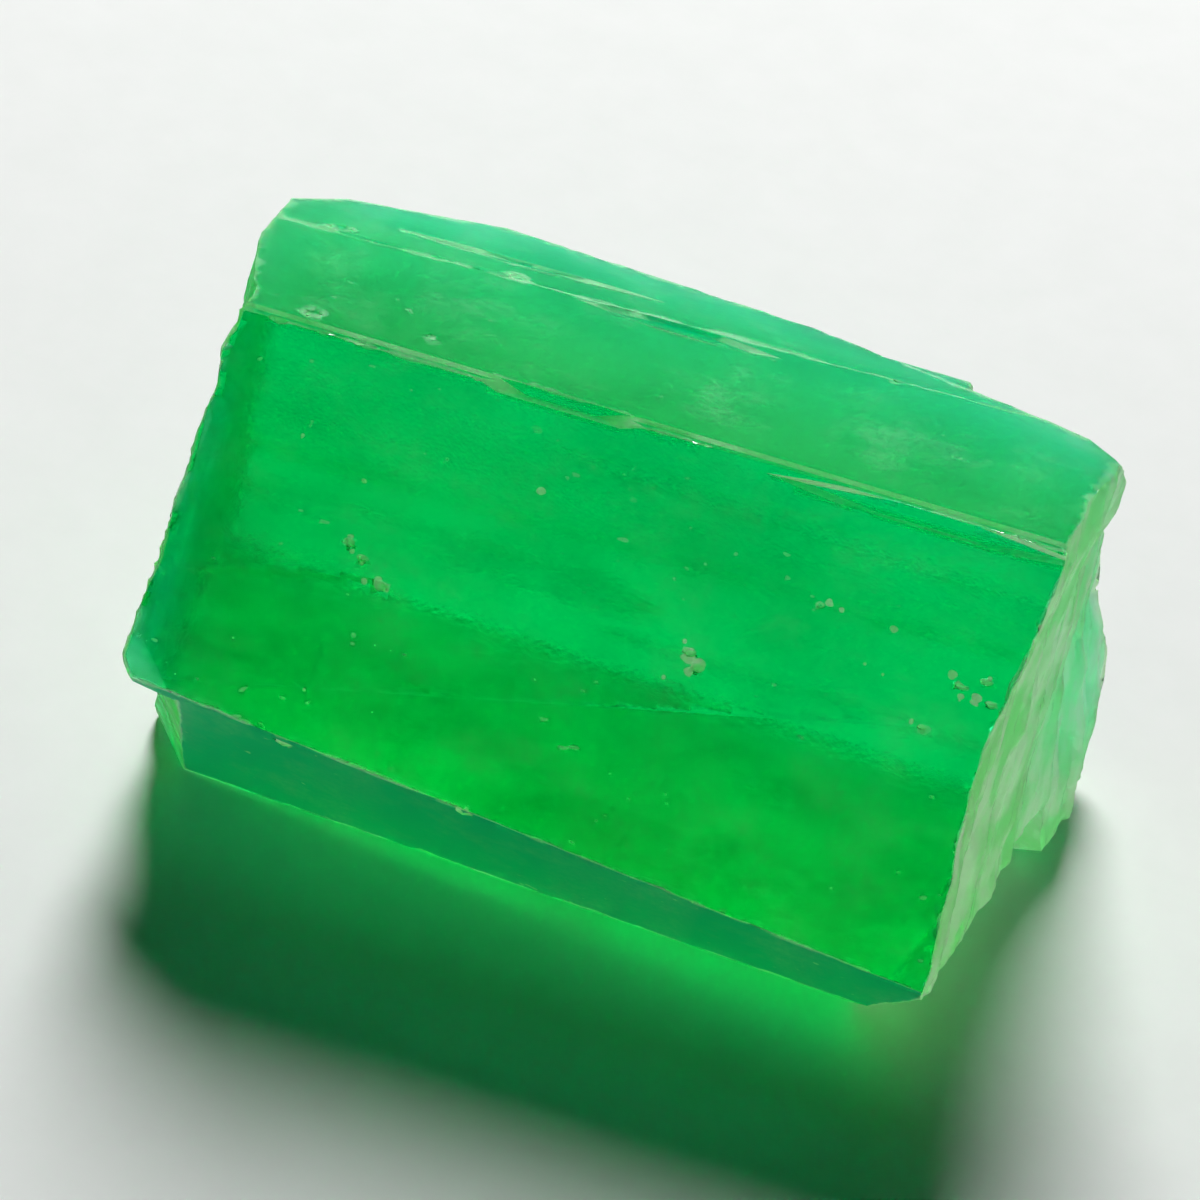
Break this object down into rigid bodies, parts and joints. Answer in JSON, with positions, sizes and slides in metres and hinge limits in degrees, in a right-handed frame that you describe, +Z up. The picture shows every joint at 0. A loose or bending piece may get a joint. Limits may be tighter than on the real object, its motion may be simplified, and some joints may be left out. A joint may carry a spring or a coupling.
{
  "type": "raw emerald crystal",
  "caption": "Rough emerald crystal: a stubby six-sided beryl prism snapped across at both ends, lying on a flat prism face.",
  "frame": {"origin": "centre of the bounding box of the resting crystal, on the surface that it rests on", "axes": "+X along the prism axis towards the stepped fracture, -Y to the big front face, +Z up out of the top face"},
  "size_m": [0.0106, 0.0066, 0.0058],
  "materials": {
    "emerald": "clear saturated green, faintly frosted"
  },
  "bodies": {
    "root": {"emerald_crystal": "emerald"}
  },
  "joints": []
}
